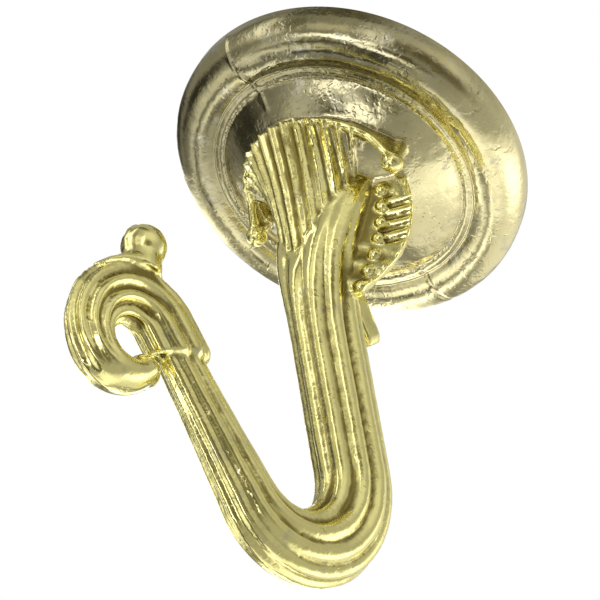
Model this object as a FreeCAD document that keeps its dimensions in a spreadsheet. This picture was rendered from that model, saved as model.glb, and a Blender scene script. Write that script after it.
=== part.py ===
"""Decorative ceiling hook, die cast in one piece: a round base with a screw hole in its back,
a neck dressed with a shell fan, two ribbed leaves and rows of beads, and a reeded rod that
leans out, bends round and curls into a scroll with a ball on it.

Millimetres. The origin is the middle of the back, which lies against the ceiling, and the hook
hangs down along -Z. The rod bends in the XZ plane, and the casting is the same on both sides of it.
"""
import FreeCAD, Part
import math
import os
import Sketcher
from FreeCAD import Placement, Rotation, Vector

# Driving dimensions: alias, value, what it is

SIZES = [
    ("base_dia", 38.0, "round base, across"),
    ("rim_land", 1.0, "straight edge of the base, next to the ceiling"),
    ("rim_round", 2.9, "radius of the base's rolled rim"),
    ("groove_depth", 3.15, "ceiling to the groove inside the rim"),
    ("ring_gap", 0.3, "groove between the rim and the ring bead"),
    ("ring_round", 0.45, "radius of the ring bead"),
    ("dome_depth", 7.7, "ceiling to the top of the dome"),
    ("back_rim", 2.6, "flat edge of the back, across"),
    ("recess_depth", 1.9, "hollow in the back"),
    ("boss_dia", 10.0, "screw boss in the back's hollow"),
    ("screw_dia", 3.46, "tapped hole, minor diameter"),
    ("screw_depth", 9.0, "depth of the tapped hole"),
    ("slice_turn", 6.0, "most that the rod turns between two of its sections, degrees"),
    ("slice_run", 5.0, "longest distance between two of the rod's sections"),
    ("neck_start", 5.0, "ceiling to the rod's top end, inside the dome"),
    ("neck_drop", 3.5, "straight run at the rod's top"),
    ("neck_radius", 14.5, "radius of the neck's bend"),
    ("neck_thick", 6.4, "neck at its top, in the plane of the bend"),
    ("neck_wide", 12.0, "neck at its top, across its smooth cheeks"),
    ("cheek_run", 19.0, "rod's top to the end of the cheeks"),
    ("stem_lean", 38.5, "stem's lean from the vertical, degrees"),
    ("stem_length", 18.9, "straight stem"),
    ("stem_thick", 8.5, "stem, in the plane of the bend"),
    ("stem_wide", 6.1, "stem, across"),
    ("bend_radius", 7.5, "radius of the hook's bend, at the rod's middle"),
    ("arm_rise", 25.3, "arm's rise from the horizontal, degrees"),
    ("arm_length", 17.4, "bend to the start of the scroll's curl"),
    ("arm_thick", 4.5, "arm at the scroll, in the plane of the bend"),
    ("arm_wide", 3.3, "arm at the scroll, across"),
    ("reed_count", 10, "reeds round the rod"),
    ("reed_depth", 0.45, "depth of the grooves between reeds"),
    ("arm_reed_depth", 0.15, "depth of the grooves between reeds, at the arm's thin end"),
    ("eye_dia", 3.2, "hole in the scroll"),
    ("eye_offset", 4.8, "middle of the scroll's hole, out from the arm's middle line"),
    ("collar_run", 5.1, "collar where the scroll starts, along the arm"),
    ("scroll_turn", 272.0, "turn of the scroll, degrees"),
    ("scroll_thick", 6.7, "scroll at its collar, in the plane of the bend"),
    ("scroll_wide", 4.2, "scroll at its collar, across"),
    ("curl_thick", 2.6, "scroll at its inner end, in the plane of the bend"),
    ("curl_wide", 3.2, "scroll at its inner end, across"),
    ("tip_dia", 3.8, "round end of the scroll, against its collar"),
    ("ball_dia", 4.2, "ball on the scroll"),
    ("ball_turn", 43.0, "ball's place round the scroll, degrees from the curl's start"),
    ("ball_lift", 2.4, "ball's middle above the scroll"),
    ("saddle_turn", 52.0, "saddle's place round the scroll, degrees from the curl's start"),
    ("saddle_long", 5.2, "saddle under the ball, along the scroll"),
    ("saddle_wide", 3.8, "saddle under the ball, across"),
    ("saddle_high", 2.2, "saddle under the ball, through"),
    ("saddle_sink", 0.3, "saddle's middle, sunk into the scroll"),
    ("fan_reach", 9.6, "fan at the dome, out from the axis"),
    ("fan_back", 1.0, "fan's two ends, out from the axis"),
    ("fan_pinch", 0.31, "how much the fan's edge is drawn in between its middle and its ends, as a share"),
    ("fan_low", 11.0, "rod's top to the foot of the fan's middle flute"),
    ("fan_high", 1.4, "rod's top to the feet of the fan's end flutes"),
    ("fan_turn", 109.0, "fan's end flutes, round the rod from its outer side, degrees"),
    ("fan_arch", 0.6, "how round the line of the flutes' feet is, as a power"),
    ("fan_sink", 0.8, "fan's edge and feet, sunk into the dome and the rod"),
    ("fan_flutes", 15, "flutes of the fan"),
    ("fan_layers", 8, "sections from the fan's edge to its lowest foot"),
    ("fan_swell", 0.6, "how far the fan bulges between its edge and its feet"),
    ("flute_depth", 0.75, "depth of the grooves between flutes, at the dome"),
    ("knob_dia", 2.5, "knobs beside the fan's two ends"),
    ("knob_foot_dia", 1.8, "a knob's foot, across"),
    ("knob_side", 9.8, "knobs, out to each side"),
    ("knob_drop", 7.75, "ceiling to the knobs"),
    ("bead_dia", 1.6, "beads beside the leaves"),
    ("bead_count", 7, "beads in a row"),
    ("bead_start", 2.6, "rod's top to the first bead"),
    ("bead_end", 14.2, "rod's top to the last bead"),
    ("bead_turn", 72.0, "bead row's place round the neck, degrees from its outer side"),
    ("bead_lift", 0.8, "ends of the bead row, out from the neck's cheek"),
    ("bead_bow", 0.8, "bow of the bead row between its ends"),
    ("leaf_wide", 3.8, "leaf at its widest, out from the bead row"),
    ("leaf_shoulder", 2.6, "leaf at its top, out from the bead row"),
    ("leaf_crown", 5.6, "leaf's top to its widest place"),
    ("leaf_thick", 1.4, "leaf, through"),
    ("leaf_turn", 53.0, "leaf's turn from the plane of the bend, degrees"),
    ("leaf_sink", 1.8, "leaf's top, sunk into the dome"),
    ("leaf_root", 3.4, "leaf's root, in from the bead row's ends"),
    ("rib_count", 5, "grooves on a leaf"),
    ("rib_step", 1.6, "one groove on a leaf to the next"),
    ("rib_wide", 0.6, "a leaf's groove, across"),
    ("rib_depth", 0.4, "a leaf's groove, deep"),
    ("spur_place", 6.0, "rod's top to the spur"),
    ("spur_reach", 12.9, "spur behind the stem, out from the rod's middle"),
    ("spur_droop", 31.7, "spur's droop from the horizontal, degrees"),
    ("spur_thick", 2.2, "spur, thick"),
    ("spur_wide", 2.4, "spur, across"),
]

doc = FreeCAD.newDocument("ceiling_hook")
sheet = doc.addObject("Spreadsheet::Sheet", "Sizes")
for row, (alias, value, meaning) in enumerate(SIZES, start=1):
    sheet.set(f"A{row}", meaning)
    sheet.set(f"B{row}", str(value))
    sheet.setAlias(f"B{row}", alias)
doc.recompute()


def size(alias):
    """A driving dimension, as a number."""
    return float(sheet.get(alias))


def bind(thing, **bindings):
    """Binds properties of a document object to the sheet's cells."""
    for name, expression in bindings.items():
        thing.setExpression(name.replace("__", "."), expression)


# Round base, turned about Z

def origin_plane(body, role):
    """One of a body's own origin planes."""
    return next(f for f in body.Origin.OriginFeatures if f.Role == role)


def upright_sketch(body, name):
    """A sketch on the body's XZ plane, with its axes along X and Z."""
    sketch = body.newObject("Sketcher::SketchObject", name)
    sketch.AttachmentSupport = [(origin_plane(body, "XZ_Plane"), "")]
    sketch.MapMode = "FlatFace"
    return sketch


def constrain(sketch, kind, *where, value=None, to=None):
    """Adds a constraint, and binds its value to an expression where one is given."""
    if value is None:
        return sketch.addConstraint(Sketcher.Constraint(kind, *where))
    index = sketch.addConstraint(Sketcher.Constraint(kind, *where, value))
    sketch.setExpression(f"Constraints[{index}]", to)
    return index


def base_profile(body):
    """Half section of the base: straight edge, rolled rim, groove, ring bead and dome."""
    sketch = upright_sketch(body, "base_profile")
    outer = size("base_dia") / 2
    land, rim, groove = size("rim_land"), size("rim_round"), size("groove_depth")
    bead, dome = size("ring_round"), size("dome_depth")
    rim_middle = outer - rim
    rim_end = rim_middle - math.sqrt(rim ** 2 - (groove - land) ** 2)
    bead_outer = rim_end - size("ring_gap")
    bead_middle = bead_outer - bead
    dome_foot = bead_middle - bead
    dome_radius = (dome_foot ** 2 + (dome - groove) ** 2) / (2 * (dome - groove))

    def point(x, z):
        return Vector(x, z, 0)

    def arc(middle, radius, first, last):
        circle = Part.Circle(middle, Vector(0, 0, 1), radius)
        angles = [math.atan2(p.y - middle.y, p.x - middle.x) for p in (first, last)]
        return Part.ArcOfCircle(circle, *angles)

    back = sketch.addGeometry(Part.LineSegment(point(0, 0), point(outer, 0)))
    edge = sketch.addGeometry(Part.LineSegment(point(outer, 0), point(outer, -land)))
    roll = sketch.addGeometry(
        arc(point(rim_middle, -land), rim, point(rim_end, -groove), point(outer, -land)))
    flat = sketch.addGeometry(Part.LineSegment(point(rim_end, -groove), point(bead_outer, -groove)))
    ring = sketch.addGeometry(
        arc(point(bead_middle, -groove), bead, point(dome_foot, -groove), point(bead_outer, -groove)))
    cap = sketch.addGeometry(
        arc(point(0, dome_radius - dome), dome_radius, point(0, -dome), point(dome_foot, -groove)))
    axis = sketch.addGeometry(Part.LineSegment(point(0, -dome), point(0, 0)))

    # An arc runs counter-clockwise: its point 1 is its start, 2 its end and 3 its middle
    constrain(sketch, "Coincident", back, 1, -1, 1)
    constrain(sketch, "Horizontal", back)
    constrain(sketch, "Coincident", back, 2, edge, 1)
    constrain(sketch, "Vertical", edge)
    constrain(sketch, "Coincident", edge, 2, roll, 2)
    constrain(sketch, "Coincident", roll, 1, flat, 1)
    constrain(sketch, "Horizontal", flat)
    constrain(sketch, "Coincident", flat, 2, ring, 2)
    constrain(sketch, "Coincident", ring, 1, cap, 2)
    constrain(sketch, "Coincident", cap, 1, axis, 1)
    constrain(sketch, "Coincident", axis, 2, back, 1)
    constrain(sketch, "Vertical", axis)
    constrain(sketch, "Horizontal", edge, 2, roll, 3)
    constrain(sketch, "Horizontal", flat, 2, ring, 3)
    constrain(sketch, "Horizontal", flat, 2, ring, 1)
    constrain(sketch, "PointOnObject", cap, 3, -2)
    constrain(sketch, "DistanceX", back, 1, back, 2, value=outer, to="Sizes.base_dia / 2")
    constrain(sketch, "DistanceY", edge, 2, edge, 1, value=land, to="Sizes.rim_land")
    constrain(sketch, "Radius", roll, value=rim, to="Sizes.rim_round")
    constrain(sketch, "DistanceY", flat, 1, back, 1, value=groove, to="Sizes.groove_depth")
    constrain(sketch, "DistanceX", flat, 2, flat, 1, value=size("ring_gap"), to="Sizes.ring_gap")
    constrain(sketch, "Radius", ring, value=bead, to="Sizes.ring_round")
    constrain(sketch, "DistanceY", axis, 1, axis, 2, value=dome, to="Sizes.dome_depth")
    return sketch


def recess_profile(body):
    """Half section of the hollow in the back, between the flat edge and the screw boss."""
    sketch = upright_sketch(body, "recess_profile")
    inner = size("boss_dia") / 2
    outer = size("base_dia") / 2 - size("back_rim")
    depth = size("recess_depth")
    corners = [Vector(inner, 0, 0), Vector(outer, 0, 0), Vector(outer, -depth, 0), Vector(inner, -depth, 0)]
    sides = [sketch.addGeometry(Part.LineSegment(a, b)) for a, b in zip(corners, corners[1:] + corners[:1])]
    for first, second in zip(sides, sides[1:] + sides[:1]):
        constrain(sketch, "Coincident", first, 2, second, 1)
    for side, kind in zip(sides, ("Horizontal", "Vertical", "Horizontal", "Vertical")):
        constrain(sketch, kind, side)
    constrain(sketch, "PointOnObject", sides[0], 1, -1)
    constrain(sketch, "DistanceX", -1, 1, sides[0], 1, value=inner, to="Sizes.boss_dia / 2")
    constrain(sketch, "DistanceX", -1, 1, sides[0], 2, value=outer, to="Sizes.base_dia / 2 - Sizes.back_rim")
    constrain(sketch, "DistanceY", sides[1], 2, sides[1], 1, value=depth, to="Sizes.recess_depth")
    return sketch


def make_base():
    """The base, turned from its half section, with the hollow turned out of its back."""
    body = doc.addObject("PartDesign::Body", "base")
    turned = body.newObject("PartDesign::Revolution", "base_turned")
    turned.Profile = base_profile(body)
    turned.ReferenceAxis = (turned.Profile[0], ["V_Axis"])
    turned.Angle = 360
    doc.recompute()
    whole = body.Shape.Volume
    hollow = body.newObject("PartDesign::Groove", "back_hollow")
    hollow.Profile = recess_profile(body)
    hollow.ReferenceAxis = (hollow.Profile[0], ["V_Axis"])
    hollow.Angle = 360
    doc.recompute()
    if not body.Shape.Volume < whole:
        raise RuntimeError("the hollow in the back cut nothing")
    return body


# Reeded rod: neck, stem, bend and arm on one line of tangent runs and arcs, then the scroll

ACROSS = Vector(0, 1, 0)


class Run:
    """A straight or arched run in the XZ plane; turn is in degrees, to the left of the heading."""

    def __init__(self, start, heading, length, turn=0.0):
        self.start, self.heading, self.length, self.turn = start, heading, length, turn

    def frame(self, along):
        """Point and heading at a length along the run."""
        if self.turn == 0:
            return self.start + forward(self.heading) * along, self.heading
        radius = self.length / math.radians(self.turn)
        heading = self.heading + self.turn * along / self.length
        return self.start + (outward(self.heading) - outward(heading)) * radius, heading

    def next(self, length, turn=0.0):
        """The run that goes on from this one's end."""
        return Run(*self.frame(self.length), length, turn)


def forward(heading):
    """Direction of a heading in the XZ plane, in degrees from +X towards +Z."""
    angle = math.radians(heading)
    return Vector(math.cos(angle), 0, math.sin(angle))


def outward(heading):
    """Direction to the left of a heading."""
    return forward(heading + 90)


def arc_length(radius, turn):
    """Length of an arc."""
    return radius * math.radians(abs(turn))


def blend(first, last, share):
    """Value part way from the first to the last."""
    return first + (last - first) * share


def ease(share):
    """A share from 0 to 1, with a soft start and end."""
    share = min(max(share, 0.0), 1.0)
    return share * share * (3 - 2 * share)


def rod_runs():
    """The rod's middle line: straight drop, neck, stem, bend and arm."""
    lean = size("stem_lean")
    bend_turn = 90 + lean + size("arm_rise")
    drop = Run(Vector(0, 0, -size("neck_start")), -90.0, size("neck_drop"))
    neck = drop.next(arc_length(size("neck_radius"), lean), lean)
    stem = neck.next(size("stem_length"))
    bend = stem.next(arc_length(size("bend_radius"), bend_turn), -bend_turn)
    arm = bend.next(size("arm_length"))
    return drop, neck, stem, bend, arm


def rod_at(along):
    """Point and heading on the rod's middle line, at a length from its top."""
    runs = rod_runs()
    for run in runs[:-1]:
        if along <= run.length:
            return run.frame(along)
        along -= run.length
    return runs[-1].frame(along)


def rod_size(along):
    """Thickness, width and groove depth of the rod, at a length from its top."""
    drop, neck, stem, bend, arm = rod_runs()
    bend_start = drop.length + neck.length + stem.length
    flare = ease(along / size("cheek_run"))
    taper = ease((along - bend_start) / (bend.length + arm.length))
    thick = blend(blend(size("neck_thick"), size("stem_thick"), flare), size("arm_thick"), taper)
    wide = blend(blend(size("neck_wide"), size("stem_wide"), flare), size("arm_wide"), taper)
    return thick, wide, blend(size("reed_depth"), size("arm_reed_depth"), taper) * flare


def rod_stations():
    """Lengths along the rod where it has a section, up to half way into the scroll's collar."""
    stations, start = [0.0], 0.0
    runs = rod_runs()
    ends = [run.length for run in runs]
    ends[-1] -= size("collar_run") / 2
    for run, length in zip(runs, ends):
        slices = max(math.ceil(abs(run.turn) / size("slice_turn")), math.ceil(length / size("slice_run")))
        stations += [start + length * (k + 1) / slices for k in range(slices)]
        start += length
    return stations


def on_section(middle, heading, thick, wide, turn, inset=0.0):
    """Point on an oval section; turn is in degrees from its outward side towards +Y."""
    angle = math.radians(turn)
    return (middle + outward(heading) * ((thick / 2 - inset) * math.cos(angle))
            + ACROSS * ((wide / 2 - inset) * math.sin(angle)))


def bowed(first, crest, last):
    """A parabola through three points."""
    curve = Part.BezierCurve()
    curve.setPoles([first, crest * 2 - (first + last) * 0.5, last])
    return curve.toShape()


def section(frame, thick, wide, depth):
    """Outline of an oval with reeds all round it, across the rod at a frame."""
    count = int(size("reed_count"))
    step = 360.0 / count
    grooves = [on_section(*frame, thick, wide, (k - 0.5) * step, depth) for k in range(count)]
    crests = [on_section(*frame, thick, wide, k * step) for k in range(count)]
    return Part.Wire([bowed(*ends) for ends in zip(grooves, crests, grooves[1:] + grooves[:1])])


def feature(name, shape):
    """Puts a shape in the document."""
    thing = doc.addObject("Part::Feature", name)
    thing.Shape = shape
    return thing


def loft(name, sections):
    """A solid through sections in order, straight from each to the next."""
    return feature(name, Part.makeLoft(sections, True, True))


def make_rod():
    """Neck with smooth cheeks, reeded stem, bend and arm."""
    return loft("rod", [section(rod_at(along), *rod_size(along)) for along in rod_stations()])


def scroll_eye():
    """Middle of the scroll's hole, and the arm's heading there."""
    arm = rod_runs()[-1]
    point, heading = arm.frame(arm.length)
    return point + outward(heading) * size("eye_offset"), heading


def scroll_at(turn):
    """Frame, thickness and width of the scroll, at a turn in degrees from the curl's start."""
    share = turn / size("scroll_turn")
    thick = blend(size("scroll_thick"), size("curl_thick"), share)
    wide = blend(size("scroll_wide"), size("curl_wide"), share)
    eye, heading = scroll_eye()
    middle = eye - outward(heading + turn) * ((size("eye_dia") + thick) / 2)
    return (middle, heading + turn), thick, wide


def make_scroll():
    """The scroll: a collar round the arm's end, a curl that thins inwards, and its round tip."""
    turn, depth = size("scroll_turn"), size("reed_depth")
    slices = math.ceil(turn / size("slice_turn"))
    (middle, heading), thick, wide = scroll_at(0)
    collar = middle - forward(heading) * size("collar_run")
    sections = [section((collar, heading), thick, wide, depth)]
    sections += [section(*scroll_at(turn * k / slices), depth) for k in range(slices + 1)]
    tip = doc.addObject("Part::Sphere", "scroll_tip")
    bind(tip, Radius="Sizes.tip_dia / 2")
    tip.Placement.Base = scroll_at(turn)[0][0]
    return [loft("scroll", sections), tip]


def scroll_crown(turn, lift):
    """Point above the scroll's outer side, at a turn, and the scroll's heading there."""
    (middle, heading), thick, _ = scroll_at(turn)
    return middle - outward(heading) * (thick / 2 + lift), heading


def make_ball():
    """The ball on the scroll, and the low saddle that it sits on."""
    ball = doc.addObject("Part::Sphere", "ball")
    bind(ball, Radius="Sizes.ball_dia / 2")
    ball.Placement.Base, _ = scroll_crown(size("ball_turn"), size("ball_lift"))
    saddle = doc.addObject("Part::Ellipsoid", "saddle")
    bind(saddle, Radius1="Sizes.saddle_high / 2", Radius2="Sizes.saddle_long / 2",
         Radius3="Sizes.saddle_wide / 2")
    place, heading = scroll_crown(size("saddle_turn"), -size("saddle_sink"))
    saddle.Placement = Placement(place, Rotation(ACROSS, 180 - heading))
    return [ball, saddle]


# Shell fan on the neck's inner side, with a knob beside each end

def dome_at(radius):
    """Ceiling to the dome's face, at a distance from the axis."""
    rim, drop = size("rim_round"), size("groove_depth") - size("rim_land")
    foot = (size("base_dia") / 2 - rim - math.sqrt(rim ** 2 - drop ** 2)
            - size("ring_gap") - 2 * size("ring_round"))
    rise = size("dome_depth") - size("groove_depth")
    ball = (foot ** 2 + rise ** 2) / (2 * rise)
    return size("dome_depth") - ball + math.sqrt(ball ** 2 - radius ** 2)


def fan_edge(share):
    """Point of the fan's edge under the dome's face, from the far knob round to the near one."""
    angle, back = math.pi * share, size("fan_back")
    pinch = 1 - size("fan_pinch") * math.sin(2 * angle) ** 2
    return Vector(-back - (size("fan_reach") - back) * math.sin(angle),
                  size("knob_side") * pinch * math.cos(angle),
                  size("fan_sink") - dome_at(size("fan_reach")))


def fan_foot(share):
    """Point just under the rod's skin where a flute ends: lowest in the fan's middle, highest at its ends."""
    side = 1 - 2 * share
    along = blend(size("fan_low"), size("fan_high"), abs(side))
    turn = blend(180, size("fan_turn"), abs(side) ** size("fan_arch"))
    thick, wide, _ = rod_size(along)
    return on_section(*rod_at(along), thick, wide, math.copysign(turn, side), size("fan_sink"))


def fan_line(share, level, lift):
    """Point of a flute at a level: out on the shell down to its foot, and from there on inside the rod."""
    edge, foot = fan_edge(share), fan_foot(share)
    tip, _ = rod_at(size("fan_low"))
    if level < foot.z:
        return blend(foot, tip, (foot.z - level) / (foot.z - tip.z))
    part = (edge.z - level) / (edge.z - foot.z)
    bulge = size("fan_swell") * 4 * part * (1 - part) + lift * (1 - part)
    return blend(edge, foot, part) + Vector(-math.sin(math.pi * share), math.cos(math.pi * share), 0) * bulge


def make_fan():
    """A shell of flutes from the dome's face down to the neck's cheeks, which cut them off at a slant."""
    count, layers, depth = int(size("fan_flutes")), int(size("fan_layers")), size("flute_depth")
    top, bottom = fan_edge(0).z, rod_at(size("fan_low"))[0].z
    sections = []
    for layer in range(layers):
        level = blend(top, bottom, layer / layers)
        valleys = [fan_line(k / count, level, 0) for k in range(count + 1)]
        crests = [fan_line((k + 0.5) / count, level, depth) for k in range(count)]
        flutes = [bowed(*ends) for ends in zip(valleys, crests, valleys[1:])]
        sections.append(Part.Wire(flutes + [Part.makeLine(valleys[-1], valleys[0])]))
    return loft("fan", sections)


def make_knobs():
    """A knob beside each end of the fan's edge, on a foot that stands on the dome."""
    root = dome_at(math.hypot(size("fan_back"), size("knob_side"))) - size("fan_sink")
    knobs = []
    for name, side in (("near_knob", -1), ("far_knob", 1)):
        knob = doc.addObject("Part::Sphere", name)
        bind(knob, Radius="Sizes.knob_dia / 2", Placement__Base__x="-Sizes.fan_back",
             Placement__Base__y=f"{side} * Sizes.knob_side", Placement__Base__z="-Sizes.knob_drop")
        foot = doc.addObject("Part::Cylinder", f"{name}_foot")
        bind(foot, Radius="Sizes.knob_foot_dia / 2", Placement__Base__x="-Sizes.fan_back",
             Placement__Base__y=f"{side} * Sizes.knob_side", Placement__Base__z="-Sizes.knob_drop")
        foot.Height = size("knob_drop") - root
        knobs += [knob, foot]
    return knobs


# Bead rows, ribbed leaves and spur on the neck's outer side

def leaf_out(side):
    """Direction in which a leaf stands out from the neck."""
    turn = math.radians(size("leaf_turn"))
    return Vector(math.cos(turn), side * math.sin(turn), 0)


def row_end(along, side):
    """An end of a bead row, just off the neck's cheek, at a length from the rod's top."""
    thick, wide, _ = rod_size(along)
    cheek = on_section(*rod_at(along), thick, wide, side * size("bead_turn"))
    return cheek + leaf_out(side) * size("bead_lift")


def bead_place(share, side):
    """Point of a bowed bead row, part way from the first bead to the last."""
    chord = blend(row_end(size("bead_start"), side), row_end(size("bead_end"), side), share)
    return chord + leaf_out(side) * (size("bead_bow") * 4 * share * (1 - share))


def make_beads():
    """A row of beads down each side of the neck."""
    count = int(size("bead_count"))
    beads = []
    for row, side in (("near", -1), ("far", 1)):
        for number in range(count):
            bead = doc.addObject("Part::Sphere", f"{row}_bead_{number}")
            bind(bead, Radius="Sizes.bead_dia / 2")
            bead.Placement.Base = bead_place(number / (count - 1), side)
            beads.append(bead)
    return beads


def leaf(side):
    """A leaf that stands out along the bead row, grooved across its upper part on both faces."""
    out, root, half = leaf_out(side), size("leaf_root"), size("leaf_thick") / 2
    first, foot = bead_place(0.0, side), bead_place(1.0, side)
    down = foot - first
    down.normalize()
    top = first - down * size("leaf_sink")
    face = out.cross(down)
    face.normalize()
    shoulder = top + out * size("leaf_shoulder")
    crown = top + down * size("leaf_crown") + out * size("leaf_wide")
    tip = foot + out * (size("bead_dia") / 2)
    inner_foot, inner_top = foot - out * root, top - out * root
    outline = Part.Wire([Part.makeLine(inner_top, shoulder), Part.Arc(shoulder, crown, tip).toShape(),
                         Part.makeLine(tip, inner_foot), Part.makeLine(inner_foot, inner_top)])
    blade = Part.Face(outline).extrude(face * (2 * half))
    blade.translate(face * -half)
    rib_wide, rib_depth, reach = size("rib_wide"), size("rib_depth"), size("leaf_wide") * 2
    grooves = []
    for number in range(int(size("rib_count"))):
        start = first + down * (size("rib_step") * (number + 0.5) - rib_wide / 2)
        for side_out in (face, face * -1):
            corner = start + side_out * (half - rib_depth)
            edges = [corner, corner + down * rib_wide]
            edges += [edge + out * reach for edge in reversed(edges)]
            grooves.append(Part.Face(Part.makePolygon(edges + edges[:1])).extrude(side_out * (2 * rib_depth)))
    return blade.cut(Part.makeCompound(grooves))


def make_leaves():
    """The two leaves."""
    return [feature(name, leaf(side)) for name, side in (("near_leaf", -1), ("far_leaf", 1))]


def make_spur():
    """A short spur behind the stem."""
    point, _ = rod_at(size("spur_place"))
    turned = Rotation(ACROSS, size("spur_droop"))
    spur = doc.addObject("Part::Box", "spur")
    bind(spur, Length="Sizes.spur_reach", Width="Sizes.spur_wide", Height="Sizes.spur_thick")
    corner = Vector(0, -size("spur_wide") / 2, -size("spur_thick") / 2)
    spur.Placement = Placement(point + turned.multVec(corner), turned)
    return spur


# One casting: everything above, with the screw hole cut into its back

def make_casting(pieces):
    """All the forms as one solid, with the tapped hole."""
    joined = doc.addObject("Part::MultiFuse", "joined")
    joined.Shapes = pieces
    hole = doc.addObject("Part::Cylinder", "screw_hole")
    bind(hole, Radius="Sizes.screw_dia / 2", Height="Sizes.screw_depth * 2",
         Placement__Base__z="-Sizes.screw_depth")
    casting = doc.addObject("Part::Cut", "casting")
    casting.Base, casting.Tool = joined, hole
    casting.Label = "hook_casting"
    return casting


pieces = [make_base(), make_rod(), *make_scroll(), *make_ball(), make_fan(), *make_knobs(), *make_beads(),
          *make_leaves(), make_spur()]
nodes = [make_casting(pieces)]
doc.recompute()

for thing in doc.Objects:
    if "Invalid" in thing.State or "Error" in thing.State:
        raise RuntimeError(f"{thing.Label} failed: {thing.State}")
for node in nodes:
    if node.Shape.isNull() or not node.Shape.isValid() or len(node.Shape.Solids) != 1:
        raise RuntimeError(f"{node.Label} is not one valid solid")

os.makedirs("parts", exist_ok=True)
for node in nodes:
    node.Shape.exportStep(f"parts/{node.Label}.step")
    print(node.Label, "volume", round(node.Shape.Volume, 1), "mm3")
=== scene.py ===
"""Dresses the ceiling hook: one brass-plated die casting, with its reeds, flutes, leaves and beads
modelled as one skin, on a white studio stage seen from below.
"""
import math
from collections import Counter

import bmesh
import bpy
import numpy as np
from bpy.props import FloatProperty, FloatVectorProperty, IntProperty, PointerProperty
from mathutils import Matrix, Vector, noise


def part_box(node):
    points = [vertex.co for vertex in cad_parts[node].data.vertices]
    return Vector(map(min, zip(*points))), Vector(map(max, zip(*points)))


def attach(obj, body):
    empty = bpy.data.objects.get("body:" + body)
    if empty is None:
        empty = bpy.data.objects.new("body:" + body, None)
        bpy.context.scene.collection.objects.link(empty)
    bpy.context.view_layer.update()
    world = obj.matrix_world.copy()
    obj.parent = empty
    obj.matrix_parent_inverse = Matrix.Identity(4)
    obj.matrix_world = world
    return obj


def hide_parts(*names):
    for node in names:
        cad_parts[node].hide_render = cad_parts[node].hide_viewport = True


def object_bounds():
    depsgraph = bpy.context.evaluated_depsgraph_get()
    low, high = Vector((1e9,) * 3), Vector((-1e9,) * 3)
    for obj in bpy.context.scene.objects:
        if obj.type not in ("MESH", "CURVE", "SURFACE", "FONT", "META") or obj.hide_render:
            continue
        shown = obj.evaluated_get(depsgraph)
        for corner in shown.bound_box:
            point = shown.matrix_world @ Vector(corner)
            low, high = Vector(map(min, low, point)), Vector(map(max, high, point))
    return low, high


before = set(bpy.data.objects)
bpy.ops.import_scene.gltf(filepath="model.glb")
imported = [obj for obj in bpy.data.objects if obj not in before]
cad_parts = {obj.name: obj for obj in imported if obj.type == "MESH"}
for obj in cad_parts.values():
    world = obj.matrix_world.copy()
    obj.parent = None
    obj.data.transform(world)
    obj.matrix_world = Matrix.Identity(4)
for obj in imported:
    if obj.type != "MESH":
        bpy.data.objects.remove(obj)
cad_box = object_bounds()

bl_info = {
    "name": "Ceiling hook",
    "version": (1, 0, 0),
    "blender": (4, 5, 0),
    "location": "3D View > Sidebar > Hook",
    "description": "Builds a brass-plated ceiling hook and a white studio stage",
    "category": "Add Mesh",
}

NODE = "hook_casting"
BACK, BASE_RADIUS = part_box(NODE)[1].z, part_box(NODE)[1].y
UP, ACROSS = np.array((0.0, 0.0, 1.0)), np.array((0.0, 1.0, 0.0))
SIDES = (-1, 1)


# Sizes and finishes that a user would change

def length(name, description, default):
    """A size in metres."""
    return FloatProperty(name=name, description=description, default=default, unit="LENGTH", precision=5)


def angle(name, description, degrees):
    """An angle, given in degrees."""
    return FloatProperty(name=name, description=description, default=math.radians(degrees), subtype="ANGLE")


def share(name, description, default):
    """A plain factor."""
    return FloatProperty(name=name, description=description, default=default, precision=3, subtype="FACTOR")


def colour(name, description, default):
    """A linear colour."""
    return FloatVectorProperty(name=name, description=description, default=default, subtype="COLOR",
                               min=0, max=1, size=3)


class BaseSizes(bpy.types.PropertyGroup):
    """The round base that lies against the ceiling."""
    radius: length("Radius", "Middle of the base to its edge", BASE_RADIUS)
    land: length("Edge", "Straight edge next to the ceiling", 0.001)
    rim_round: length("Rim", "Radius of the rolled rim", 0.0029)
    groove_depth: length("Groove", "Ceiling to the groove inside the rim", 0.00315)
    ring_gap: length("Ring gap", "Groove between the rim and the ring bead", 0.0003)
    ring_round: length("Ring", "Half the width of the ring bead", 0.00045)
    ring_height: length("Ring height", "Height of the ring bead", 0.00017)
    dome_depth: length("Dome", "Ceiling to the top of the dome", 0.0077)
    back_rim: length("Back edge", "Flat edge of the back, across", 0.0026)
    recess_depth: length("Back hollow", "Depth of the hollow in the back", 0.0019)
    boss_radius: length("Boss", "Radius of the screw boss", 0.005)
    screw_radius: length("Screw hole", "Radius of the tapped hole at its thread's crests", 0.00173)
    screw_depth: length("Screw depth", "Depth of the tapped hole", 0.009)
    thread_pitch: length("Thread pitch", "One turn of the screw thread to the next", 0.000794)
    seam_height: length("Seam", "Height of the parting seam across the rim", 0.00012)


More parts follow.
